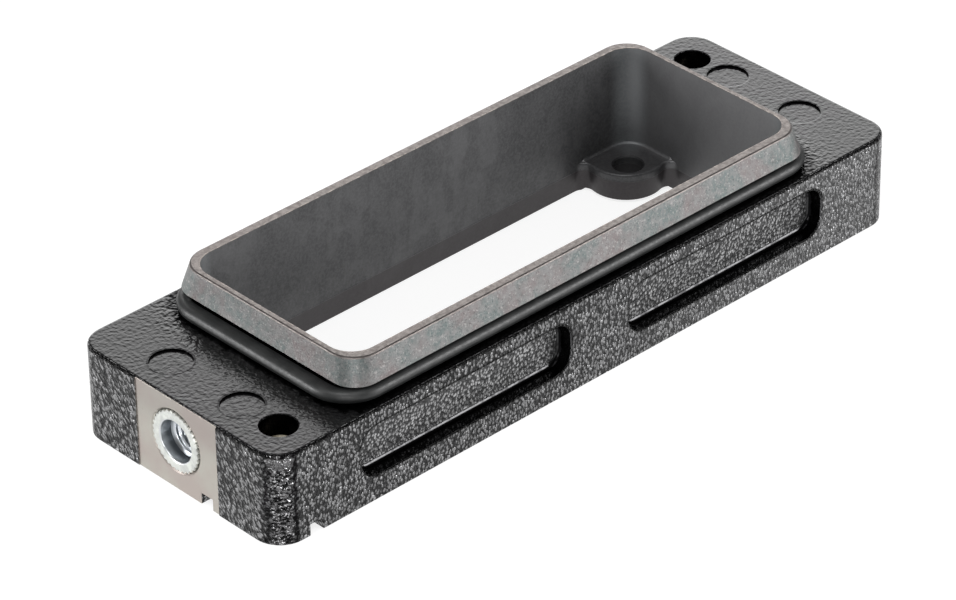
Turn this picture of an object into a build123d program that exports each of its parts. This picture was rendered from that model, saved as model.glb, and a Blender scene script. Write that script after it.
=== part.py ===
from build123d import *
import os

os.makedirs("parts", exist_ok=True)

# All sizes are in millimetres. The origin is the centre of the mounting face, X is the long axis, Z is up.

# Opening through the housing, drafted upwards from the lugs and downwards from the parting line
opening_length = 89.8
opening_width = 34.4
opening_corner_radius = 4.0
opening_draft_growth = 0.25
parting_height = 3.9
lower_flare_angle = 5.0

# Flange block round the opening
end_block_length = 18.5
side_wall = 2.05
flange_height = 15.3
flange_corner_radius = 4.5
flange_top_round = 0.6

# Collar: a drafted band above a narrower neck that holds the seal
neck_height = 2.7
band_height = 4.2
rim_thickness_x = 0.9
rim_thickness_y = 1.45
rim_corner_radius = 4.6
band_growth_x = 0.8
band_growth_y = 0.95
band_corner_radius = 4.2
rim_edge_round = 0.3
neck_inset_x = 0.55
neck_inset_y = 1.57

# Corner lugs that carry the contact insert
lug_bottom = 0.4
lug_thickness = 4.7
lug_radius = 6.4
lug_inset_x = 3.8
lug_inset_y = 3.15
lug_blend_radius = 1.5
lug_root_overlap = 1.0
lug_edge_round = 0.4
lug_wall_fillet = 0.5
lug_fillet_run_out_angle = 45.0
lug_hole_radius = 2.4
lug_hole_chamfer = 0.2
lug_hole_inset_x = 5.75
lug_hole_inset_y = 5.55

# Recessed pockets on both long sides
pocket_depth = 2.5
pocket_middle_gap = 11.9
pocket_end_margin = 16.15
pocket_bottom_margin = 4.1
pocket_top_margin = 2.85
pocket_corner_radius = 3.1
pocket_floor_fillet = 1.0
pocket_edge_round = 0.3

# Drain channels in the mounting face, one bent channel per screw hole
channel_width = 2.5
channel_depth = 1.9
channel_end_y = 6.4
channel_screw_offset = 0.7

# Screw holes on one diagonal, each with a threaded insert set in from below
screw_hole_radius = 2.8
screw_hole_edge_round = 0.2
screw_end_distance = 6.6
screw_side_distance = 6.65
insert_radius = 3.6
insert_top_margin = 3.55
insert_channel_gap = 0.4
insert_thread_radius = 2.1
insert_chamfer = 0.5
press_clearance = 0.01

# Ejector marks on the flange top
mark_radius = 3.3
mark_depth = 0.35
mark_end_distance = 6.3
mark_spacing_y = 15.36

# Machined flat on the near end face, with the earth bush in it
flat_depth = 0.15
flat_width = 17.5
flat_centre_y = -0.35
bush_height = 8.15
bush_radius = 5.1
bush_depth = 12.0
bush_stand_out = 0.1
bush_seat_chamfer = 0.25
bush_mouth_radius = 3.35
bush_mouth_depth = 2.3
bush_thread_radius = 2.5
bush_thread_depth = 8.0

# Seal ring round the neck
seal_radius = 1.05
seal_corner_radius = 6.1
seal_end_gap = 0.75

# How far cuts run past the surfaces that they leave, and how closely faces and edges are picked
cut_margin = 1.0
pick_margin = 0.01

# Flange and opening
opening_half_length = opening_length / 2
opening_half_width = opening_width / 2
flange_length = opening_length + 2 * end_block_length
flange_width = opening_width + 2 * (side_wall + pocket_depth)

# Collar
band_bottom = flange_height + neck_height
collar_top = band_bottom + band_height
rim_half_length = opening_half_length + opening_draft_growth + rim_thickness_x
rim_half_width = opening_half_width + opening_draft_growth + rim_thickness_y
band_half_length = rim_half_length + band_growth_x
band_half_width = rim_half_width + band_growth_y
neck_half_length = band_half_length - neck_inset_x
neck_half_width = band_half_width - neck_inset_y

# Lugs
lug_x = opening_half_length - lug_inset_x
lug_y = opening_half_width - lug_inset_y
lug_top = lug_bottom + lug_thickness
draft_start = lug_top + lug_wall_fillet
lug_root_length = opening_length + 2 * lug_root_overlap
lug_root_width = opening_width + 2 * lug_root_overlap
lug_hole_spacing_x = opening_length - 2 * lug_hole_inset_x
lug_hole_spacing_y = opening_width - 2 * lug_hole_inset_y

# Pockets
pocket_outer_x = flange_length / 2 - pocket_end_margin
pocket_inner_x = pocket_middle_gap / 2
pocket_length = pocket_outer_x - pocket_inner_x
pocket_centre_x = (pocket_outer_x + pocket_inner_x) / 2
pocket_height = flange_height - pocket_bottom_margin - pocket_top_margin
pocket_centre_height = pocket_bottom_margin + pocket_height / 2

# Screw holes, inserts and ejector marks
screw_x = flange_length / 2 - screw_end_distance
screw_y = flange_width / 2 - screw_side_distance
insert_places = {"screw_insert_near": (-screw_x, -screw_y), "screw_insert_far": (screw_x, screw_y)}
screw_points = list(insert_places.values())
insert_top_height = flange_height - insert_top_margin
insert_bottom_height = channel_depth + insert_channel_gap
insert_length = insert_top_height - insert_bottom_height
insert_seat_radius = insert_radius + press_clearance
mark_x = flange_length / 2 - mark_end_distance

# Machined flat, bush seat and drain channels
flat_plane_x = flange_length / 2 - flat_depth
bush_seat_radius = bush_radius + press_clearance
channel_side_x = screw_x - channel_screw_offset
channel_end_length = flange_length / 2 - channel_side_x + channel_width / 2 + cut_margin
channel_side_length = flange_width / 2 - channel_end_y + channel_width / 2 + cut_margin

# Seal
seal_half_length = neck_half_length + seal_end_gap + seal_radius
seal_half_width = neck_half_width + seal_radius
seal_centre_height = flange_height + seal_radius

# Window between the corner lugs
with BuildSketch() as lug_window:
    RectangleRounded(opening_length, opening_width, opening_corner_radius)
    with GridLocations(2 * lug_x, 2 * lug_y, 2, 2):
        Circle(lug_radius, mode=Mode.SUBTRACT)
    fillet(lug_window.vertices(), radius=lug_blend_radius)

# Corner lugs, joined by a root frame that lies inside the housing's walls
with BuildPart() as lug_ring:
    with BuildSketch(Plane.XY.offset(lug_bottom)):
        RectangleRounded(lug_root_length, lug_root_width, opening_corner_radius)
        add(lug_window.sketch, mode=Mode.SUBTRACT)
    extrude(amount=lug_thickness)
    lug_top_face = lug_ring.faces().sort_by(Axis.Z)[-1]
    fillet(lug_top_face.inner_wires()[0].edges(), radius=lug_edge_round)

# Space above the lugs, with a rounded floor edge
with BuildPart() as lug_space:
    with BuildSketch(Plane.XY.offset(lug_top)):
        RectangleRounded(opening_length, opening_width, opening_corner_radius)
    extrude(amount=2 * lug_wall_fillet)
    fillet(lug_space.faces().sort_by(Axis.Z)[0].edges(), radius=lug_wall_fillet)

# Fillet between the flat tops of the lugs and the walls, running out where the tops end
with BuildPart() as lug_bead:
    with BuildSketch(Plane.XY.offset(lug_top)):
        RectangleRounded(lug_root_length, lug_root_width, opening_corner_radius)
    extrude(amount=lug_wall_fillet)
    add(lug_space.part, mode=Mode.SUBTRACT)
    with BuildSketch(Plane.XY.offset(lug_top)):
        offset(lug_window.sketch, amount=lug_edge_round)
    extrude(amount=lug_wall_fillet, taper=-lug_fillet_run_out_angle, mode=Mode.SUBTRACT)

# Housing: flange block
with BuildPart() as housing:
    with BuildSketch(Plane.XY):
        RectangleRounded(flange_length, flange_width, flange_corner_radius)
    extrude(amount=flange_height)
    fillet(housing.faces().sort_by(Axis.Z)[-1].edges(), radius=flange_top_round)

    # Neck below the band
    with BuildSketch(Plane.XY.offset(flange_height)):
        RectangleRounded(2 * neck_half_length, 2 * neck_half_width, band_corner_radius)
    extrude(amount=band_bottom - flange_height)

    # Band, widening downwards
    with BuildSketch(Plane.XY.offset(band_bottom)):
        RectangleRounded(2 * band_half_length, 2 * band_half_width, band_corner_radius)
    with BuildSketch(Plane.XY.offset(collar_top)):
        RectangleRounded(2 * rim_half_length, 2 * rim_half_width, rim_corner_radius)
    loft()
    fillet(housing.faces().sort_by(Axis.Z)[-1].edges(), radius=rim_edge_round)

    # Opening above the lugs, drafted
    with BuildSketch(Plane.XY.offset(draft_start)):
        RectangleRounded(opening_length, opening_width, opening_corner_radius)
    with BuildSketch(Plane.XY.offset(collar_top)):
        RectangleRounded(
            opening_length + 2 * opening_draft_growth,
            opening_width + 2 * opening_draft_growth,
            opening_corner_radius + opening_draft_growth,
        )
    loft(mode=Mode.SUBTRACT)

    # Opening beside the lugs, straight
    with BuildSketch(Plane.XY):
        RectangleRounded(opening_length, opening_width, opening_corner_radius)
    extrude(amount=draft_start, mode=Mode.SUBTRACT)

    # Corner lugs, and a fillet from their tops up the walls
    add(lug_ring.part)
    add(lug_bead.part)

    # Flare of the opening below the parting line, lugs included
    with BuildSketch(Plane.XY.offset(parting_height)):
        add(lug_window.sketch)
    extrude(amount=-parting_height, taper=-lower_flare_angle, mode=Mode.SUBTRACT)

    # Holes through the lugs
    with Locations(Plane.XY.offset(lug_top)):
        with GridLocations(lug_hole_spacing_x, lug_hole_spacing_y, 2, 2):
            CounterSinkHole(
                radius=lug_hole_radius,
                counter_sink_radius=lug_hole_radius + lug_hole_chamfer,
                depth=lug_thickness + cut_margin,
                counter_sink_angle=90,
            )

    # Pockets on the two long sides
    for side in (-1, 1):
        with BuildSketch(Plane.XZ.offset(side * flange_width / 2)):
            with GridLocations(2 * pocket_centre_x, 0, 2, 1):
                with Locations((0, pocket_centre_height)):
                    RectangleRounded(pocket_length, pocket_height, pocket_corner_radius)
        extrude(amount=-side * pocket_depth, mode=Mode.SUBTRACT)
    pocket_floors = housing.faces().filter_by(Axis.Y).filter_by(
        lambda f: abs(abs(f.center().Y) - (flange_width / 2 - pocket_depth)) < pick_margin
    )
    fillet(pocket_floors.edges(), radius=pocket_floor_fillet)
    long_sides = housing.faces().filter_by(Axis.Y).filter_by(
        lambda f: abs(abs(f.center().Y) - flange_width / 2) < pick_margin
    )
    for long_side in long_sides:
        fillet([edge for wire in long_side.inner_wires() for edge in wire.edges()], radius=pocket_edge_round)

    # Ejector marks
    with BuildSketch(Plane.XY.offset(flange_height)):
        with GridLocations(2 * mark_x, mark_spacing_y, 2, 2):
            Circle(mark_radius)
    extrude(amount=-mark_depth, mode=Mode.SUBTRACT)

    # Screw holes and the seats of their inserts
    with BuildSketch(Plane.XY):
        with Locations(*screw_points):
            Circle(screw_hole_radius)
    extrude(amount=flange_height, mode=Mode.SUBTRACT)
    hole_mouths = housing.edges().filter_by(
        lambda e: e.geom_type == GeomType.CIRCLE
        and abs(e.radius - screw_hole_radius) < pick_margin
        and abs(e.center().Z - flange_height) < pick_margin
    )
    fillet(hole_mouths, radius=screw_hole_edge_round)
    with BuildSketch(Plane.XY):
        with Locations(*screw_points):
            Circle(insert_seat_radius)
    extrude(amount=insert_top_height, mode=Mode.SUBTRACT)

    # Machined flat on the near end face
    with Locations((-flange_length / 2, flat_centre_y, flange_height / 2)):
        Box(2 * flat_depth, flat_width, flange_height + 2 * cut_margin, mode=Mode.SUBTRACT)

    # Seat of the earth bush
    with BuildSketch(Plane.YZ.offset(-flat_plane_x)):
        with Locations((0, bush_height)):
            Circle(bush_seat_radius)
    extrude(amount=bush_depth, mode=Mode.SUBTRACT)
    bush_seat_edge = housing.edges().filter_by(GeomType.CIRCLE).filter_by_position(
        Axis.X, -flat_plane_x - pick_margin, -flat_plane_x + pick_margin
    )
    chamfer(bush_seat_edge, length=bush_seat_chamfer)

    # Bent drain channels in the mounting face
    with BuildSketch(Plane.XY):
        with Locations(
            (flange_length / 2 + cut_margin - channel_end_length / 2, channel_end_y),
            (-flange_length / 2 - cut_margin + channel_end_length / 2, -channel_end_y),
        ):
            Rectangle(channel_end_length, channel_width)
        with Locations(
            (channel_side_x, flange_width / 2 + cut_margin - channel_side_length / 2),
            (-channel_side_x, -flange_width / 2 - cut_margin + channel_side_length / 2),
        ):
            Rectangle(channel_width, channel_side_length)
    extrude(amount=channel_depth, mode=Mode.SUBTRACT)

housing.part.label = "housing"
export_step(housing.part, "parts/housing.step")

# Seal ring lying on the flange round the neck
with BuildSketch(Plane.XY.offset(seal_centre_height)) as seal_course:
    RectangleRounded(2 * seal_half_length, 2 * seal_half_width, seal_corner_radius)

seal_path = seal_course.sketch.faces()[0].outer_wire()

with BuildPart() as collar_seal:
    with BuildSketch(Plane(origin=seal_path @ 0, z_dir=seal_path % 0)):
        Circle(seal_radius)
    sweep(path=seal_path)

collar_seal.part.label = "collar_seal"
export_step(collar_seal.part, "parts/collar_seal.step")

# Earth bush in the near end face, with a smooth lead-in and a blind thread
with BuildPart() as earth_bush:
    with BuildSketch(Plane.YZ.offset(-flat_plane_x - bush_stand_out)):
        with Locations((0, bush_height)):
            Circle(bush_radius)
    extrude(amount=bush_depth + bush_stand_out)
    with BuildSketch(Plane.YZ.offset(-flat_plane_x - bush_stand_out)):
        with Locations((0, bush_height)):
            Circle(bush_mouth_radius)
    extrude(amount=bush_mouth_depth, mode=Mode.SUBTRACT)
    with BuildSketch(Plane.YZ.offset(-flat_plane_x - bush_stand_out + bush_mouth_depth)):
        with Locations((0, bush_height)):
            Circle(bush_thread_radius)
    extrude(amount=bush_thread_depth, mode=Mode.SUBTRACT)

earth_bush.part.label = "earth_bush"
export_step(earth_bush.part, "parts/earth_bush.step")

# Threaded inserts of the two screw holes
for insert_name, insert_place in insert_places.items():
    with BuildPart() as screw_insert:
        with BuildSketch(Plane.XY.offset(insert_bottom_height)):
            with Locations(insert_place):
                Circle(insert_radius)
                Circle(insert_thread_radius, mode=Mode.SUBTRACT)
        extrude(amount=insert_length)
        upper_rim = screw_insert.faces().sort_by(Axis.Z)[-1].inner_wires()[0].edges()
        chamfer(upper_rim, length=insert_chamfer)

    screw_insert.part.label = insert_name
    export_step(screw_insert.part, f"parts/{insert_name}.step")
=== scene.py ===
import math
import bpy
from mathutils import Matrix, Vector


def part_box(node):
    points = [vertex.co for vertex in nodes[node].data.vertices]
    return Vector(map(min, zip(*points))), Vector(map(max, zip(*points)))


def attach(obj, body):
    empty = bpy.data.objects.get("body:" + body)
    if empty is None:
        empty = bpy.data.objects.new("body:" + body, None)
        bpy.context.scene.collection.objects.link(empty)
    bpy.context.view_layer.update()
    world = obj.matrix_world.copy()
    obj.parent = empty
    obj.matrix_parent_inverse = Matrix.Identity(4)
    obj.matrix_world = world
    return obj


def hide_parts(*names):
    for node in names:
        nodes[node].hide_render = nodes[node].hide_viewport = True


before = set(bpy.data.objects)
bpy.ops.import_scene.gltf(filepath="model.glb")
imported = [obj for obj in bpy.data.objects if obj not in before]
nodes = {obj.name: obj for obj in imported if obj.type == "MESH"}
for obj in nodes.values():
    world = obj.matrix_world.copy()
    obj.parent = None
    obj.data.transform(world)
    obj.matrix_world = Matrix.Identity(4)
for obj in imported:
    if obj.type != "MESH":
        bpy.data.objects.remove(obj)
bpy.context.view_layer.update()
scene = bpy.context.scene
scene.view_settings.view_transform = "Standard"

# Camera, placed as it was fitted to the flange edges of the photograph
right = Vector((0.7248408, -0.6888268, -0.0111113))
down = Vector((-0.3833218, -0.3898567, -0.8373029))
ahead = Vector((0.5724249, 0.6111705, -0.5466264))
eye = Vector((-0.418336, -0.442233, 0.400611))
lens = bpy.data.cameras.new("camera")
lens.sensor_fit = "HORIZONTAL"
lens.sensor_width = 36.0
lens.lens = 182.70
lens.clip_start = 0.01
lens.clip_end = 60.0
camera = bpy.data.objects.new("camera", lens)
scene.collection.objects.link(camera)
turn = Matrix((right, -down, -ahead)).transposed()
camera.matrix_world = Matrix.Translation(eye) @ turn.to_4x4()
scene.camera = camera


def box_mm(node):
    """The two corners of a node's box, in millimetres."""
    low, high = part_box(node)
    return low * 1000, high * 1000


# Sizes and places, in millimetres. The frame gives the housing's reach, the bush and the screw holes' places.
half_length, half_width, collar_top = box_mm("housing")[1]
bush_low, bush_high = box_mm("earth_bush")
bush_face = bush_low.x
bush_height = (bush_low.z + bush_high.z) / 2
bush_radius = (bush_high.z - bush_low.z) / 2
insert_low, insert_high = box_mm("screw_insert_far")
screw_x = (insert_low.x + insert_high.x) / 2
screw_y = (insert_low.y + insert_high.y) / 2
screw_hole_radius = 2.8

# Flange block, with its ejector marks and the machined flat on the near end face
flange_top = 15.3
flange_corner = 4.5
mark_x, mark_y = 57.1, 7.68
mark_radius = 3.3
mark_floor = 14.95
flat_x = 0.15 - half_length
flat_low_y, flat_high_y = -9.1, 8.4
bush_seat_end = -50.0
witness_x = -3.9
witness_bottom, witness_top = 0.9, 10.7

# Collar: half length, half width and corner radius in plan of its rim's outer edge, middle and inner edge
band_bottom = 18.0
rim_outer = (46.05, 18.9, 4.6)
rim_middle = (45.6, 18.17, 4.4)
rim_inner = (45.15, 17.45, 4.25)

# Opening and the lugs in its corners
opening_half_length = 44.9
opening_half_width = 17.2
parting_height = 3.9
lug_top = 5.1
lug_hole_x, lug_hole_y = 39.15, 11.65
lug_hole_radius = 2.4

# Pockets in the long sides
pocket_inner_x, pocket_outer_x = 5.95, 47.25
pocket_bottom, pocket_top = 4.1, 12.45
pocket_corner = 3.1
pocket_floor_y = half_width - 2.5

# Stretches outside the rim in plan: the painted shade next to the seal, and the ripples dying away from it
seal_shade = (2.8, 4.3)
ripple_reach = (3.0, 8.5)

# Bore of the bush
bush_lip_radius = 3.62
bush_mouth_radius = 3.31
bush_mouth_depth = 2.3


class Graph:
    """A material and short names for the nodes that it uses. Lengths are in millimetres."""

    def __init__(self, name):
        self.material = bpy.data.materials.new(name)
        self.material.use_nodes = True
        self.tree = self.material.node_tree
        self.tree.nodes.clear()
        self.end = self.tree.nodes.new("ShaderNodeOutputMaterial")
        place = self.tree.nodes.new("ShaderNodeTexCoord")
        self.point = self.vector("SCALE", place.outputs["Object"], scale=1000.0)
        self.x, self.y, self.z = self.split(self.point)
        self.up = self.split(place.outputs["Normal"])[2]
        self.away_x = self.math("ABSOLUTE", self.x)
        self.away_y = self.math("ABSOLUTE", self.y)

    def put(self, socket, value):
        if isinstance(value, bpy.types.NodeSocket):
            self.tree.links.new(value, socket)
        else:
            socket.default_value = value

    def split(self, vector):
        node = self.tree.nodes.new("ShaderNodeSeparateXYZ")
        self.put(node.inputs[0], vector)
        return node.outputs

    def vector(self, kind, a, b=None, scale=None):
        node = self.tree.nodes.new("ShaderNodeVectorMath")
        node.operation = kind
        self.put(node.inputs[0], a)
        if b is not None:
            self.put(node.inputs[1], b)
        if scale is not None:
            self.put(node.inputs["Scale"], scale)
        return node.outputs[0]

    def math(self, kind, a, b=0.0):
        node = self.tree.nodes.new("ShaderNodeMath")
        node.operation = kind
        self.put(node.inputs[0], a)
        self.put(node.inputs[1], b)
        return node.outputs[0]

    def chain(self, kind, first, *others):
        for other in others:
            first = self.math(kind, first, other)
        return first

    def plus(self, *values):
        return self.chain("ADD", *values)

    def minus(self, *values):
        return self.chain("SUBTRACT", *values)

    def times(self, *values):
        return self.chain("MULTIPLY", *values)

    def largest(self, *values):
        return self.chain("MAXIMUM", *values)

    def length(self, a, b):
        return self.math("SQRT", self.plus(self.times(a, a), self.times(b, b)))

    def step(self, value, low, high, out_low=0.0, out_high=1.0):
        """A smooth step from one value to another."""
        node = self.tree.nodes.new("ShaderNodeMapRange")
        node.interpolation_type = "SMOOTHSTEP"
        for socket, item in zip(node.inputs, (value, low, high, out_low, out_high)):
            self.put(socket, item)
        return node.outputs[0]

    def fall(self, value, low, high):
        """A smooth step down from 1 to 0."""
        return self.step(value, low, high, 1.0, 0.0)

    def between(self, value, low, high, soft=0.02):
        """A mask that is 1 between two values."""
        below_high = self.fall(value, high - soft, high + soft)
        return self.times(self.step(value, low - soft, low + soft), below_high)

    def noise(self, per_mm, detail=2.0, rough=0.5, stretch=None, twist=0.0):
        node = self.tree.nodes.new("ShaderNodeTexNoise")
        place = self.point if stretch is None else self.vector("MULTIPLY", self.point, stretch)
        self.put(node.inputs["Vector"], place)
        self.put(node.inputs["Scale"], per_mm)
        self.put(node.inputs["Detail"], detail)
        self.put(node.inputs["Roughness"], rough)
        self.put(node.inputs["Distortion"], twist)
        return node.outputs[0]

    def cells(self, per_mm, warp_mm):
        """Distance to the nearest of scattered points, drawn out along one diagonal."""
        lean = self.times(self.plus(self.y, self.z), 0.20)
        leaning = self.tree.nodes.new("ShaderNodeCombineXYZ")
        self.put(leaning.inputs[0], self.x)
        self.put(leaning.inputs[1], self.minus(self.y, lean))
        self.put(leaning.inputs[2], self.minus(self.z, lean))
        drift = self.tree.nodes.new("ShaderNodeTexNoise")
        self.put(drift.inputs["Vector"], self.point)
        self.put(drift.inputs["Scale"], per_mm * 0.8)
        shift = self.vector("SCALE", drift.outputs["Color"], scale=warp_mm)
        node = self.tree.nodes.new("ShaderNodeTexVoronoi")
        node.feature = "F1"
        self.put(node.inputs["Vector"], self.vector("ADD", leaning.outputs[0], shift))
        self.put(node.inputs["Scale"], per_mm)
        return node.outputs["Distance"]

    def blend(self, share, a, b):
        """A mix of two colours."""
        node = self.tree.nodes.new("ShaderNodeMix")
        node.data_type = "RGBA"
        self.put(node.inputs[0], share)
        self.put(node.inputs[6], a)
        self.put(node.inputs[7], b)
        return node.outputs[2]

    def lerp(self, share, a, b):
        """A mix of two numbers."""
        node = self.tree.nodes.new("ShaderNodeMix")
        node.data_type = "FLOAT"
        self.put(node.inputs[0], share)
        self.put(node.inputs[2], a)
        self.put(node.inputs[3], b)
        return node.outputs[0]

    def outside(self, across, along, half_across, half_along, radius):
        """Distance outside a rounded rectangle, from the distances to its two centre lines."""
        over_across = self.largest(self.minus(across, half_across - radius), 0.0)
        over_along = self.largest(self.minus(along, half_along - radius), 0.0)
        return self.minus(self.length(over_across, over_along), radius)

    def plan(self, half_x, half_y, radius):
        """Distance outside a rounded rectangle in plan, negative inside it."""
        return self.outside(self.away_x, self.away_y, half_x, half_y, radius)

    def finish(self, color, metallic, roughness, height_mm=None, specular=0.5, planar=None):
        """Ends the material. Where planar is 1, the relief lies on the mesh's own faces."""
        shader = self.tree.nodes.new("ShaderNodeBsdfPrincipled")
        self.put(shader.inputs["Base Color"], color)
        self.put(shader.inputs["Metallic"], metallic)
        self.put(shader.inputs["Roughness"], roughness)
        shader.inputs["Specular IOR Level"].default_value = specular
        if height_mm is not None:
            bump = self.tree.nodes.new("ShaderNodeBump")
            bump.inputs["Strength"].default_value = 1.0
            bump.inputs["Distance"].default_value = 0.001
            self.put(bump.inputs["Height"], height_mm)
            if planar is not None:
                surface = self.tree.nodes.new("ShaderNodeNewGeometry")
                normal = self.tree.nodes.new("ShaderNodeMix")
                normal.data_type = "VECTOR"
                self.put(normal.inputs[0], planar)
                self.put(normal.inputs[4], surface.outputs["Normal"])
                self.put(normal.inputs[5], surface.outputs["True Normal"])
                self.put(bump.inputs["Normal"], normal.outputs[1])
            self.put(shader.inputs["Normal"], bump.outputs[0])
        self.tree.links.new(shader.outputs[0], self.end.inputs[0])
        return self.material


def dress(piece, material):
    piece.data.materials.clear()
    piece.data.materials.append(material)


def pocket_places(g):
    """Distance outside the pockets' outline, and masks of their walls and of their floors."""
    across = g.math("ABSOLUTE", g.minus(g.away_x, (pocket_inner_x + pocket_outer_x) / 2))
    along = g.math("ABSOLUTE", g.minus(g.z, (pocket_bottom + pocket_top) / 2))
    half_sizes = (pocket_outer_x - pocket_inner_x) / 2, (pocket_top - pocket_bottom) / 2
    outline = g.outside(across, along, *half_sizes, pocket_corner)
    above_floor = g.step(g.away_y, pocket_floor_y + 0.01, pocket_floor_y + 0.05)
    below_side = g.fall(g.away_y, half_width - 0.25, half_width - 0.05)
    wall = g.times(above_floor, below_side, g.fall(outline, 0.30, 0.40))
    at_floor = g.step(g.away_y, pocket_floor_y - 0.35, pocket_floor_y - 0.25)
    floor_mask = g.times(g.minus(1.0, above_floor), at_floor, g.fall(outline, 0.10, 0.20))
    return outline, wall, floor_mask


def corner_places(g):
    """Masks of the painted reflection on each rounded corner: a bright streak down it, and a painted dark
    band on both sides of it.
    """
    over_x = g.largest(g.minus(g.away_x, half_length - flange_corner), 0.0)
    over_y = g.largest(g.minus(g.away_y, half_width - flange_corner), 0.0)
    around = g.math("DIVIDE", over_y, g.plus(over_x, over_y, 0.0001))
    around = g.plus(around, g.step(g.noise(1.3, 2.0), 0.25, 0.75, -0.07, 0.07))
    corner = g.times(g.step(over_x, 0.0, 0.05), g.step(over_y, 0.0, 0.05), g.fall(g.up, 0.55, 0.80))
    streak = g.times(corner, g.between(around, 0.36, 0.77, 0.06))
    dark = g.times(corner, g.minus(g.between(around, 0.26, 0.90, 0.06), streak))
    return streak, dark


# Each finish of the casting is its colour, metallic share, roughness and relief in millimetres.
def paint(g):
    """Glossy black paint, with low domes made bright by painted highlights and dark gaps on the sides, and
    softer ripples on top.
    """
    lying = g.step(g.up, 0.78, 0.96)
    standing = g.minus(1.0, lying)
    from_rim = g.plan(*rim_outer)
    outline, pocket_wall, pocket_floor = pocket_places(g)
    streak, corner_dark = corner_places(g)

    # Smooth places: pocket walls, screw holes, the marks' walls, the neck, and part of each rounded corner.
    # They keep the plain black with a full metallic share, so they reflect little: painted shade in the screw
    # holes, and painted dark reflection in the corners' dark bands
    on_diagonal = g.times(g.y, g.math("SIGN", g.x))
    from_hole = g.length(g.minus(g.away_x, screw_x), g.minus(on_diagonal, screw_y))
    hole = g.fall(from_hole, screw_hole_radius - 0.01, screw_hole_radius + 0.06)
    neck = g.step(g.z, flange_top + 0.02, flange_top + 0.12)
    from_mark = g.length(g.minus(g.away_x, mark_x), g.minus(g.away_y, mark_y))
    in_mark = g.fall(from_mark, mark_radius + 0.10, mark_radius + 0.20)
    mark_wall = g.times(in_mark, standing, g.step(g.z, mark_floor - 0.35, mark_floor - 0.25))
    smooth_place = g.largest(pocket_wall, hole, neck, corner_dark, mark_wall)

    # Painted shade on the top, where a full metallic share leaves the black reflecting little: next to the
    # seal, and round the two near marks
    shade = g.plus(from_rim, g.step(g.noise(0.7, 2.0), 0.25, 0.75, -0.8, 0.8))
    shade = g.times(g.fall(shade, *seal_shade), lying)
    painted_mark_ring = g.times(
        g.between(from_mark, mark_radius, mark_radius + 0.28, 0.05),
        g.step(g.x, -1.0, 1.0, 0.95, 0.0),
        lying,
        g.step(g.noise(0.9, 2.0), 0.35, 0.60, 0.45, 1.0),
    )
    skin = g.largest(standing, smooth_place, shade, painted_mark_ring)

    # Relief: domes on the sides, ripples on top, a witness line on one side, and the far marks' edges
    gap = g.minus(g.cells(2.20, 0.30), 0.02)
    domes = g.plus(g.times(gap, gap, -0.33), g.times(g.noise(1.2, 1.0, 0.4, twist=0.3), 0.10))
    ripples = g.times(g.noise(1.5, 1.0, 0.35, twist=0.2), g.step(from_rim, *ripple_reach, 0.165, 0.072))
    relief = g.lerp(lying, g.times(domes, g.lerp(streak, 1.0, 1.35)), ripples)
    relief = g.times(relief, g.lerp(smooth_place, g.lerp(pocket_floor, 1.0, 0.50), 0.06))
    witness = g.times(
        g.between(g.x, witness_x - 0.08, witness_x + 0.08, 0.06),
        g.fall(g.y, 0.15 - half_width, 0.25 - half_width),
        g.between(g.z, witness_bottom, witness_top, 0.2),
    )
    relief = g.minus(relief, g.times(witness, 0.12))
    mark_edge = g.fall(from_mark, mark_radius - 0.02, mark_radius + 0.28)
    mark_edge = g.times(mark_edge, g.step(g.z, mark_floor + 0.05, mark_floor + 0.15), lying)
    relief = g.minus(relief, g.times(mark_edge, g.step(g.x, -1.0, 1.0, 0.0, 0.030)))

    # Colour of the sides: dull gaps, painted lighter towards the far end, and bright peaks that are painted
    # highlights. Painted shade darkens the rounded edges, and painted light brightens the pocket floors.
    cloud = g.step(g.noise(0.6, 3.0), 0.35, 0.7)
    color = g.blend(cloud, (0.0034, 0.0033, 0.0036, 1), (0.0062, 0.0060, 0.0064, 1))
    rough_place = g.times(g.fall(g.up, 0.45, 0.75), g.minus(1.0, smooth_place))
    wide_place = g.times(rough_place, g.minus(1.0, streak))
    rounded_edge = g.step(g.up, 0.10, 0.25)
    # Painted light: the gaps grow lighter towards the far end
    dull = g.blend(g.step(g.x, -20.0, 60.0), (0.025, 0.025, 0.0255, 1), (0.078, 0.078, 0.079, 1))
    # Painted shade: the gaps on the rounded edges are darker
    dull = g.blend(rounded_edge, dull, (0.012, 0.012, 0.012, 1))
    # Painted light: the gaps on the pocket floors are lighter
    dull = g.blend(pocket_floor, dull, (0.050, 0.050, 0.051, 1))
    color = g.blend(wide_place, color, dull)
    # Painted shade: the peaks on the rounded edges are darker
    bright = g.blend(rounded_edge, (0.345, 0.345, 0.35, 1), (0.045, 0.044, 0.044, 1))
    # Painted light: the peaks on the pocket floors are lighter
    bright = g.blend(pocket_floor, bright, (0.50, 0.50, 0.505, 1))
    # Painted highlights: the domes' peaks take a lighter, more reflective colour
    peak = g.times(g.fall(gap, 0.16, 0.60), g.step(g.noise(0.5, 2.0), 0.3, 0.7, 0.55, 1.0))
    color = g.blend(g.times(peak, wide_place), color, bright)

    # Colour of the corners' streaks, all painted reflection: grey patches, a brighter painted highlight near
    # the top, and painted glints
    painted_patch = g.step(g.noise(1.3, 2.0, 0.5, (1.0, 1.0, 2.0), 0.5), 0.47, 0.62)
    painted_cap = g.times(
        g.step(g.z, flange_top - 3.0, flange_top - 1.6),
        g.fall(g.z, flange_top - 0.8, flange_top - 0.6),
        g.step(g.noise(2.0, 2.0, 0.5, (1.0, 1.0, 0.2)), 0.3, 0.6, 0.35, 0.85),
    )
    color = g.blend(g.times(g.largest(painted_patch, painted_cap), streak), color, (0.17, 0.168, 0.172, 1))
    painted_glint = g.times(g.step(g.noise(3.0, 1.0), 0.60, 0.69), streak)
    color = g.blend(painted_glint, color, (0.50, 0.50, 0.51, 1))
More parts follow.
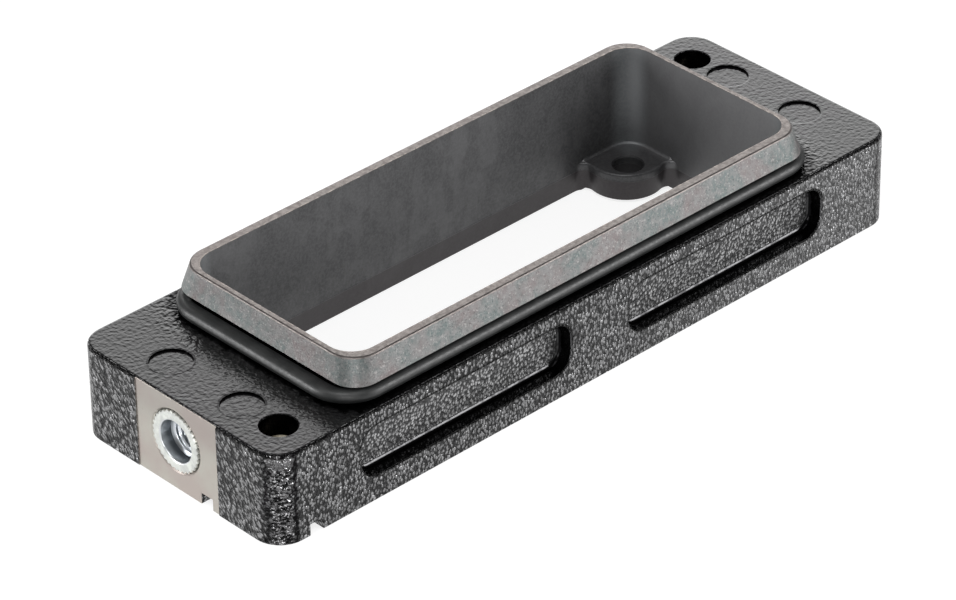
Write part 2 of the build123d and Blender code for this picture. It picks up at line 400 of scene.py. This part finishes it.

    # Lines of the pockets: painted shade as a dark line along the outer edge, and painted highlights as
    # bright lines on the floor's fillet and on the end walls' edge
    outer_edge = g.times(
        g.between(outline, 0.0, 0.50, 0.06),
        g.step(g.away_y, half_width - 0.45, half_width - 0.30),
        g.step(g.z, pocket_bottom + 2.9, pocket_top - 1.45, 0.25, 0.96),
    )
    color = g.blend(outer_edge, color, (0.004, 0.004, 0.004, 1))
    pocket_span = g.between(g.away_x, pocket_inner_x - 0.35, pocket_outer_x + 0.35)
    fillet_line = g.times(
        g.between(g.away_y, pocket_floor_y + 0.05, pocket_floor_y + 0.19, 0.03),
        pocket_span,
        g.between(g.z, pocket_bottom - 0.1, pocket_top - 2.25, 0.2),
        g.step(g.noise(0.8, 2.0), 0.34, 0.56, 0.30, 1.0),
    )
    color = g.blend(fillet_line, color, (0.042, 0.042, 0.043, 1))
    end_line = g.times(
        g.between(g.away_y, half_width - 0.25, half_width - 0.07, 0.04),
        pocket_span,
        g.between(g.z, pocket_bottom + 1.5, pocket_top - 1.65, 0.5),
        g.minus(1.0, g.between(g.away_x, pocket_inner_x + 0.45, pocket_outer_x - 0.45)),
    )
    color = g.blend(g.times(end_line, 0.6), color, (0.12, 0.12, 0.124, 1))

    metallic = g.lerp(pocket_floor, skin, 0.50)
    smooth = g.lerp(lying, g.step(g.noise(1.3, 2.0), 0.3, 0.7, 0.15, 0.22), 0.11)
    rough = g.lerp(g.times(g.step(gap, 0.42, 0.60), rough_place), smooth, 0.38)
    return color, metallic, rough, relief


def bare_metal(g):
    """Bare cast metal of the collar, with a browner rim that is worn at its inner edge."""
    cloud = g.step(g.noise(0.16, 3.0, 0.6), 0.42, 0.60)
    color = g.blend(cloud, (0.124, 0.150, 0.147, 1), (0.172, 0.150, 0.149, 1))
    mottle = g.step(g.noise(0.9, 5.0, 0.72), 0.32, 0.70)
    color = g.blend(mottle, color, (0.215, 0.212, 0.210, 1))
    dark_specks = g.fall(g.noise(3.6, 3.0, 0.65), 0.34, 0.44)
    color = g.blend(g.times(dark_specks, 0.60), color, (0.075, 0.070, 0.070, 1))
    light_specks = g.step(g.noise(2.9, 2.0, 0.55), 0.58, 0.68)
    color = g.blend(g.times(light_specks, 0.42), color, (0.42, 0.40, 0.39, 1))
    rim_top = g.step(g.z, collar_top - 0.34, collar_top - 0.20)
    rim = g.blend(g.step(g.noise(1.6, 3.0), 0.35, 0.65), (0.17, 0.145, 0.135, 1), (0.27, 0.24, 0.225, 1))
    color = g.blend(g.times(rim_top, 0.85), color, rim)
    # Painted shade: a dark line along the rim's outer edge
    dark_line = g.times(g.between(g.plan(*rim_outer), -0.20, 0.02, 0.05), rim_top)
    dark_line = g.times(dark_line, g.step(g.noise(0.8, 2.0), 0.3, 0.6, 0.45, 0.85))
    color = g.blend(dark_line, color, (0.055, 0.050, 0.050, 1))
    inner_edge = g.times(g.fall(g.plan(*rim_inner), 0.10, 0.24), rim_top)
    worn = g.times(inner_edge, g.step(g.noise(0.9, 4.0, 0.7), 0.50, 0.60))
    color = g.blend(g.times(worn, 0.7), color, (0.52, 0.46, 0.41, 1))
    relief = g.plus(g.times(g.noise(3.0, 3.0, 0.6), 0.030), g.times(g.noise(0.5, 2.0), 0.024))
    return color, 0.75, g.step(g.noise(1.8, 2.0), 0.3, 0.7, 0.40, 0.52), relief


def inner_walls(g):
    """Dull grey walls of the opening, painted lighter at the ends and in the corners as painted light,
    painted darker in the lugs' holes as painted shade, and the darker lugs.
    """
    cloud = g.step(g.noise(0.07, 3.0, 0.55), 0.35, 0.68)
    color = g.blend(cloud, (0.064, 0.064, 0.066, 1), (0.106, 0.106, 0.109, 1))
    fleck = g.step(g.noise(1.2, 3.0, 0.6), 0.62, 0.72, 0.0, 0.25)
    color = g.blend(fleck, color, (0.16, 0.16, 0.165, 1))
    smear = g.step(g.noise(0.30, 4.0, 0.6, (1.0, 1.0, 0.6), 0.6), 0.40, 0.60, 0.0, 0.60)
    color = g.blend(smear, color, (0.050, 0.050, 0.052, 1))
    grain = g.step(g.noise(2.4, 3.0, 0.7), 0.35, 0.65, 0.0, 0.34)
    color = g.blend(grain, color, (0.150, 0.150, 0.154, 1))
    # Painted light: the end walls are lighter
    end_wall = g.step(g.away_x, opening_half_length - 1.7, opening_half_length - 0.3, 0.0, 0.55)
    color = g.blend(end_wall, color, (0.180, 0.180, 0.184, 1))
    # Painted light: the corners of the opening are lighter
    corner = g.times(
        g.step(g.away_x, opening_half_length - 4.7, opening_half_length - 2.3),
        g.step(g.away_y, opening_half_width - 4.6, opening_half_width - 2.2),
    )
    color = g.blend(g.times(corner, 0.36), color, (0.200, 0.215, 0.222, 1))
    low_wall = g.fall(g.z, parting_height - 0.20, parting_height + 0.05)
    color = g.blend(g.times(low_wall, 0.7), color, (0.040, 0.032, 0.034, 1))
    facing_up = g.step(g.up, 0.90, 0.99)
    on_lug = g.times(facing_up, g.fall(g.z, lug_top + 0.1, lug_top + 0.2))
    color = g.blend(g.times(on_lug, 0.30), color, (0.034, 0.031, 0.033, 1))
    # Painted shade: the lugs' holes are darker
    from_hole = g.length(g.minus(g.away_x, lug_hole_x), g.minus(g.away_y, lug_hole_y))
    hole = g.times(g.fall(from_hole, lug_hole_radius + 0.35, lug_hole_radius + 0.55), g.minus(1.0, facing_up))
    color = g.blend(g.times(hole, 0.8), color, (0.012, 0.012, 0.013, 1))
    rough = g.lerp(hole, g.step(g.z, lug_top + 1.4, lug_top + 3.9, 0.40, 0.48), 0.65)
    parting_line = g.between(g.z, parting_height - 0.07, parting_height + 0.05, 0.04)
    relief = g.plus(g.times(g.noise(1.4, 2.0), 0.012), g.times(parting_line, 0.03))
    return color, 0.35, rough, relief


def machined_metal(g):
    """Machined flat of the near end face, darker above the bush, with cut marks across it."""
    cloud = g.step(g.noise(0.13, 3.0, 0.5), 0.35, 0.65)
    color = g.blend(cloud, (0.430, 0.380, 0.350, 1), (0.455, 0.440, 0.395, 1))
    upper = g.step(g.z, bush_height - 1.15, bush_height + 4.85, 0.0, 0.50)
    color = g.blend(upper, color, (0.290, 0.255, 0.240, 1))
    stain = g.step(g.noise(1.1, 3.0, 0.6), 0.66, 0.76, 0.0, 0.35)
    color = g.blend(stain, color, (0.34, 0.30, 0.27, 1))
    relief = g.times(g.noise(5.0, 2.0, 0.5, (1.0, 0.15, 1.0)), 0.008)
    return color, 0.80, 0.38, relief


def casting():
    """The housing's finish: paint outside, bare collar, dull inner walls, and the machined flat."""
    g = Graph("casting")
    collar = g.step(g.z, band_bottom - 0.05, band_bottom + 0.02)
    below_rim = g.fall(g.z, collar_top - 0.08, collar_top - 0.03)
    inside = g.times(g.fall(g.plan(*rim_middle), -0.02, 0.02), below_rim)
    flat = g.times(g.fall(g.x, flat_x + 0.07, flat_x + 0.11), g.between(g.y, flat_low_y, flat_high_y))
    from_bush = g.length(g.y, g.minus(g.z, bush_height))
    seat = g.fall(from_bush, bush_radius + 0.45, bush_radius + 0.55)
    seat = g.times(seat, g.fall(g.x, bush_seat_end, bush_seat_end + 1.0))
    color, metallic, rough, relief = paint(g)
    layers = ((collar, bare_metal(g)), (inside, inner_walls(g)), (g.largest(flat, seat), machined_metal(g)))
    for mask, (layer_color, layer_metallic, layer_rough, layer_relief) in layers:
        color = g.blend(mask, color, layer_color)
        metallic = g.lerp(mask, metallic, layer_metallic)
        rough = g.lerp(mask, rough, layer_rough)
        relief = g.lerp(mask, relief, layer_relief)
    planar = g.largest(
        g.between(g.z, flange_top - 0.008, flange_top + 0.010, 0.002),
        g.between(g.z, mark_floor - 0.010, mark_floor + 0.010, 0.005),
    )
    return g.finish(color, metallic, rough, relief, specular=0.42, planar=planar)


def rubber():
    g = Graph("rubber")
    tone = g.blend(g.step(g.noise(0.4, 3.0), 0.35, 0.65), (0.016, 0.017, 0.017, 1), (0.026, 0.027, 0.027, 1))
    rough = g.step(g.noise(1.2, 2.0), 0.3, 0.7, 0.39, 0.48)
    return g.finish(tone, 0.0, rough, g.times(g.noise(3.5, 3.0, 0.6), 0.015))


def insert_plating():
    g = Graph("insert_plating")
    tone = g.blend(g.step(g.noise(0.45, 3.0), 0.30, 0.70), (0.34, 0.30, 0.22, 1), (0.66, 0.60, 0.48, 1))
    return g.finish(tone, 1.0, g.step(g.noise(0.9, 2.0), 0.3, 0.7, 0.26, 0.38))


def bush_plating():
    """Bright toothed rim, and a bore whose colour is painted light and shade: painted shade behind its lip,
    and a painted highlight where its thread starts.
    """
    g = Graph("bush_plating")
    from_axis = g.length(g.y, g.minus(g.z, bush_height))
    bore = g.fall(from_axis, bush_lip_radius - 0.12, bush_lip_radius)
    depth = g.minus(g.x, bush_face)
    rim = g.blend(g.step(g.noise(0.8, 3.0), 0.30, 0.70), (0.56, 0.575, 0.555, 1), (0.73, 0.75, 0.71, 1))
    rim = g.blend(g.step(g.noise(3.0, 3.0, 0.6), 0.30, 0.40, 0.45, 0.0), rim, (0.30, 0.31, 0.30, 1))
    # Painted light and shade down the bore: light at the mouth, darker deeper in, a painted highlight on the
    # thread's first turn, and mid grey beyond
    wall = g.blend(g.step(depth, 0.30, 1.50), (0.62, 0.64, 0.65, 1), (0.26, 0.28, 0.30, 1))
    first_turn = g.step(depth, bush_mouth_depth - 0.15, bush_mouth_depth + 0.15)
    wall = g.blend(first_turn, wall, (0.70, 0.73, 0.76, 1))
    deeper_turns = g.step(depth, bush_mouth_depth + 1.1, bush_mouth_depth + 2.3)
    wall = g.blend(deeper_turns, wall, (0.38, 0.40, 0.42, 1))
    rough = g.lerp(bore, g.step(g.noise(2.2, 2.0), 0.3, 0.7, 0.36, 0.46), 0.32)
    grain = g.times(g.noise(4.5, 2.0), g.lerp(bore, 0.02, 0.0))
    return g.finish(g.blend(bore, rim, wall), 1.0, rough, grain)


def mesh_piece(name, points, faces, sharp_degrees):
    mesh = bpy.data.meshes.new(name)
    mesh.from_pydata(points, [], faces)
    mesh.validate()
    mesh.polygons.foreach_set("use_smooth", [True] * len(mesh.polygons))
    mesh.set_sharp_from_angle(angle=math.radians(sharp_degrees))
    piece = bpy.data.objects.new(name, mesh)
    scene.collection.objects.link(piece)
    return piece


def seal_course(half_x, half_y, corner, level, steps, spacing):
    """Places along a rounded rectangle, each with the direction that points out of it."""
    bends = []
    for side_x, side_y, start in ((1, 1, 0), (-1, 1, 90), (-1, -1, 180), (1, -1, 270)):
        centre = Vector((side_x * (half_x - corner), side_y * (half_y - corner), level))
        for i in range(steps + 1):
            a = math.radians(start + 90 * i / steps)
            outward = Vector((math.cos(a), math.sin(a), 0))
            bends.append((centre + outward * corner, outward))
    course = []
    for (place, outward), (next_place, next_outward) in zip(bends, bends[1:] + bends[:1]):
        pieces = max(1, round((next_place - place).length / spacing))
        for i in range(pieces):
            share = i / pieces
            course.append((place.lerp(next_place, share), outward.lerp(next_outward, share).normalized()))
    return course


# Ring seal: a round cord laid on the flange, with a fine mould line round it.
# At the two ends it stands off the neck, and there its inner side is wider and fills that gap.
def seal_ring(node):
    corner, spacing = 6.1, 1.2
    bend_steps, around = 40, 36
    body_share, mould_line_share, height_gain = 0.97, 0.985, 1.03
    fill_width, fill_squareness = 0.66, 0.45
    low, high = box_mm(node)
    radius = (high.z - low.z) / 2
    course = seal_course(high.x - radius, high.y - radius, corner, low.z + radius, bend_steps, spacing)
    points = []
    for place, outward in course:
        fill = outward.x ** 4
        power = 1 - fill_squareness * fill
        for j in range(around):
            a = 2 * math.pi * j / around
            reach = radius * (mould_line_share if j % (around // 2) == 0 else body_share)
            across, rise = math.cos(a), math.sin(a)
            if across < 0:
                across = -(1 + fill_width * fill) * (-across) ** power
                rise = math.copysign(abs(rise) ** power, rise)
            upward = Vector((0, 0, rise * height_gain))
            points.append((place + (outward * across + upward) * reach) / 1000)
    faces = []
    for i in range(len(course)):
        for j in range(around):
            k, n = (j + 1) % around, (i + 1) % len(course)
            faces.append((i * around + j, n * around + j, n * around + k, i * around + k))
    return mesh_piece("ring_seal", points, faces, 180)


def ring(centre, first_axis, second_axis, count, radius_at):
    """Points in metres on a ring round a centre in millimetres, in the plane of two axes."""
    made = []
    for j in range(count):
        a = 2 * math.pi * j / count
        way = first_axis * math.cos(a) + second_axis * math.sin(a)
        made.append((centre + way * radius_at(j / count)) / 1000)
    return made


def skin_over(rings):
    """Points and side faces of a skin over rings of equal count."""
    count = len(rings[0])
    faces = []
    for i in range(len(rings) - 1):
        for j in range(count):
            k = (j + 1) % count
            faces.append((i * count + j, i * count + k, (i + 1) * count + k, (i + 1) * count + j))
    return [p for made in rings for p in made], faces


def plain(radius):
    return lambda share: radius


def toothed(root, tip, teeth, rising):
    """Radius round a ring of saw-like teeth, whose rising flank takes a given share of each."""
    def radius_at(share):
        phase = (share * teeth) % 1.0
        height = phase / rising if phase < rising else (1 - phase) / (1 - rising)
        return root + (tip - root) * height
    return radius_at


def threaded(along, pitch, minor, major, base, fade):
    """Radius round a ring of a cut thread, which fades into a plain wall of the base radius."""
    crest_share, flank_share = 0.18, 0.62

    def radius_at(share):
        rise = abs((along / pitch - share) % 1.0 - 0.5) * 2
        cut = major - (major - minor) * min(1.0, max(0.0, (rise - crest_share) / flank_share))
        return base * (1 - fade) + cut * fade
    return radius_at


# Earth bush: toothed rim, rounded lip, smooth mouth and cut thread. Stations are distances behind its face.
def bush(node):
    count, teeth, rising_share = 272, 34, 0.62
    back_chamfer, teeth_end = 0.4, 3.2
    toothed_rings = ((2.9, 0.30, 0.03), (0.22, 0.36, 0.05), (0.0, 0.48, 0.16))
    face_inset = 0.62
    lip_round, lip_depth, lip_steps = 0.29, 0.30, 6
    entry_chamfer, entry_radius = 0.25, 3.04
    thread_minor, thread_major = 2.5, 2.98
    thread_length, pitch, rows = 8.0, 1.0, 110
    start_radius, start_length = 3.0, 0.5
    fade_in, fade_out = 0.8, 0.6
    drill_tip_radius, drill_tip_length = 0.4, 0.7
    low, high = box_mm(node)
    outer, depth = (high.z - low.z) / 2, high.x - low.x

    def at(station, radius_at):
        centre = Vector((low.x + station, 0, (low.z + high.z) / 2))
        return ring(centre, Vector((0, 1, 0)), Vector((0, 0, 1)), count, radius_at)

    rings = [at(depth, plain(outer - back_chamfer)), at(depth - back_chamfer, plain(outer))]
    rings.append(at(teeth_end, plain(outer)))
    for station, root_inset, tip_inset in toothed_rings:
        rings.append(at(station, toothed(outer - root_inset, outer - tip_inset, teeth, rising_share)))
    rings.append(at(0, plain(outer - face_inset)))
    rings.append(at(0, plain(bush_lip_radius)))
    for i in range(1, lip_steps + 1):
        a = math.radians(90 * i / lip_steps)
        rings.append(at(lip_depth * (1 - math.cos(a)), plain(bush_lip_radius - lip_round * math.sin(a))))
    rings.append(at(bush_mouth_depth - entry_chamfer, plain(bush_mouth_radius)))
    rings.append(at(bush_mouth_depth, plain(entry_radius)))
    for i in range(1, rows + 1):
        along = thread_length * i / rows
        fade = min(1.0, along / fade_in) * min(1.0, (thread_length - along) / fade_out)
        base = start_radius - (start_radius - thread_minor) * min(1.0, along / start_length)
        cut = threaded(along, pitch, thread_minor, thread_major, base, fade)
        rings.append(at(bush_mouth_depth + along, cut))
    rings.append(at(bush_mouth_depth + thread_length + drill_tip_length, plain(drill_tip_radius)))
    points, faces = skin_over(rings)
    last = (len(rings) - 1) * count
    faces.append(list(reversed(range(count))))
    faces.append([last + j for j in range(count)])
    return mesh_piece("bush_with_thread", points, faces, 32)


# Screw insert: threaded sleeve with a chamfered mouth
def sleeve(node, name):
    count, pitch, rows = 96, 0.8, 120
    thread_minor, thread_major, fade_length = 2.1, 2.5, 0.5
    bottom_bore, bottom_chamfer = 2.6, 0.2
    mouth_radius, mouth_depth, top_chamfer = 2.75, 0.35, 0.25
    low, high = box_mm(node)
    outer = (high.x - low.x) / 2

    def at(z, radius_at):
        centre = Vector(((low.x + high.x) / 2, (low.y + high.y) / 2, z))
        return ring(centre, Vector((1, 0, 0)), Vector((0, 1, 0)), count, radius_at)

    rings = [
        at(low.z, plain(bottom_bore)),
        at(low.z, plain(outer - bottom_chamfer)),
        at(low.z + bottom_chamfer, plain(outer)),
        at(high.z - top_chamfer, plain(outer)),
        at(high.z, plain(outer - top_chamfer)),
        at(high.z, plain(mouth_radius)),
        at(high.z - mouth_depth, plain(thread_major)),
    ]
    span = high.z - low.z - mouth_depth
    for i in range(1, rows):
        along = span * i / rows
        fade = min(1.0, along / fade_length, (span - along) / fade_length)
        cut = threaded(along, pitch, thread_minor, thread_major, thread_major, fade)
        rings.append(at(high.z - mouth_depth - along, cut))
    points, faces = skin_over(rings)
    last = (len(rings) - 1) * count
    for j in range(count):
        k = (j + 1) % count
        faces.append((last + j, last + k, k, j))
    return mesh_piece(name, points, faces, 32)


dress(nodes["housing"], casting())

seal_finish = rubber()
seal = seal_ring("collar_seal")
dress(seal, seal_finish)
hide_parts("collar_seal")

bush_piece = bush("earth_bush")
dress(bush_piece, bush_plating())
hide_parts("earth_bush")

insert_finish = insert_plating()
near_sleeve = sleeve("screw_insert_near", "near_sleeve")
dress(near_sleeve, insert_finish)
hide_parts("screw_insert_near")
far_sleeve = sleeve("screw_insert_far", "far_sleeve")
dress(far_sleeve, insert_finish)
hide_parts("screw_insert_far")

for piece in (seal, bush_piece, near_sleeve, far_sleeve):
    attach(piece, "root")
dress(nodes["collar_seal"], seal_finish)
for name in ("earth_bush", "screw_insert_near", "screw_insert_far"):
    dress(nodes[name], insert_finish)


def floor_finish():
    """Matt floor that also glows, but only to the camera and in reflections."""
    g = Graph("floor")
    path = g.tree.nodes.new("ShaderNodeLightPath")
    ray_kinds = ("Is Camera Ray", "Is Glossy Ray", "Is Transmission Ray")
    seen = g.largest(*(path.outputs[kind] for kind in ray_kinds))
    matt = g.tree.nodes.new("ShaderNodeBsdfDiffuse")
    matt.inputs["Color"].default_value = (0.32, 0.32, 0.32, 1)
    glow = g.tree.nodes.new("ShaderNodeEmission")
    g.put(glow.inputs["Strength"], g.times(seen, 0.80))
    both = g.tree.nodes.new("ShaderNodeAddShader")
    g.put(both.inputs[0], matt.outputs[0])
    g.put(both.inputs[1], glow.outputs[0])
    g.put(g.end.inputs[0], both.outputs[0])
    return g.material


# Floor: white to the camera and in reflections, and it keeps the shadow
floor_half = 6.0
floor_level = -1e-4
floor_corners = [
    (side_x * floor_half, side_y * floor_half, floor_level)
    for side_x, side_y in ((-1, -1), (1, -1), (1, 1), (-1, 1))
]
floor_mesh = bpy.data.meshes.new("floor")
floor_mesh.from_pydata(floor_corners, [], [(0, 1, 2, 3)])
floor = bpy.data.objects.new("floor", floor_mesh)
scene.collection.objects.link(floor)
dress(floor, floor_finish())


def studio():
    """A dim room that is lighter above, with a broad glow behind the object."""
    room_heights, room_levels = (0.05, 0.75), (0.16, 0.30)
    glow_direction = Vector((0.66, 0.70, 0.28)).normalized()
    glow_cosines, glow_levels = (0.86, 0.998), (0.0, 2.9)
    world = bpy.data.worlds.new("studio")
    world.use_nodes = True
    tree = world.node_tree
    tree.nodes.clear()
    coord = tree.nodes.new("ShaderNodeTexCoord")
    split = tree.nodes.new("ShaderNodeSeparateXYZ")
    tree.links.new(coord.outputs["Generated"], split.inputs[0])
    rise = tree.nodes.new("ShaderNodeMapRange")
    for socket, value in zip(rise.inputs[1:5], room_heights + room_levels):
        socket.default_value = value
    tree.links.new(split.outputs[2], rise.inputs[0])
    toward = tree.nodes.new("ShaderNodeVectorMath")
    toward.operation = "DOT_PRODUCT"
    toward.inputs[1].default_value = glow_direction
    tree.links.new(coord.outputs["Generated"], toward.inputs[0])
    glow = tree.nodes.new("ShaderNodeMapRange")
    glow.interpolation_type = "SMOOTHSTEP"
    for socket, value in zip(glow.inputs[1:5], glow_cosines + glow_levels):
        socket.default_value = value
    tree.links.new(toward.outputs["Value"], glow.inputs[0])
    both = tree.nodes.new("ShaderNodeMath")
    both.operation = "ADD"
    tree.links.new(rise.outputs[0], both.inputs[0])
    tree.links.new(glow.outputs[0], both.inputs[1])
    sky = tree.nodes.new("ShaderNodeBackground")
    tree.links.new(both.outputs[0], sky.inputs["Color"])
    world_end = tree.nodes.new("ShaderNodeOutputWorld")
    tree.links.new(sky.outputs[0], world_end.inputs[0])
    return world


def soft_box(name, direction, distance, width, height, radiance):
    light = bpy.data.lights.new(name, "AREA")
    light.shape = "RECTANGLE"
    light.size = width
    light.size_y = height
    light.energy = math.pi * width * height * radiance
    lamp = bpy.data.objects.new(name, light)
    way = Vector(direction).normalized()
    lamp.location = way * distance
    lamp.rotation_mode = "QUATERNION"
    lamp.rotation_quaternion = way.to_track_quat("Z", "Y")
    lamp.visible_camera = False
    scene.collection.objects.link(lamp)


# Studio: the room, and soft boxes by direction, distance, width, height and radiance
scene.world = studio()
soft_box("box_right", (0.57, -0.78, 0.26), 1.0, 0.38, 0.50, 12.0)
soft_box("box_left", (-0.76, 0.61, 0.23), 1.0, 0.38, 0.44, 12.0)
soft_box("box_front", (-0.66, -0.62, 0.25), 1.1, 0.22, 0.36, 12.0)
soft_box("box_above", (-0.40, -0.22, 0.89), 1.1, 0.70, 0.60, 3.4)
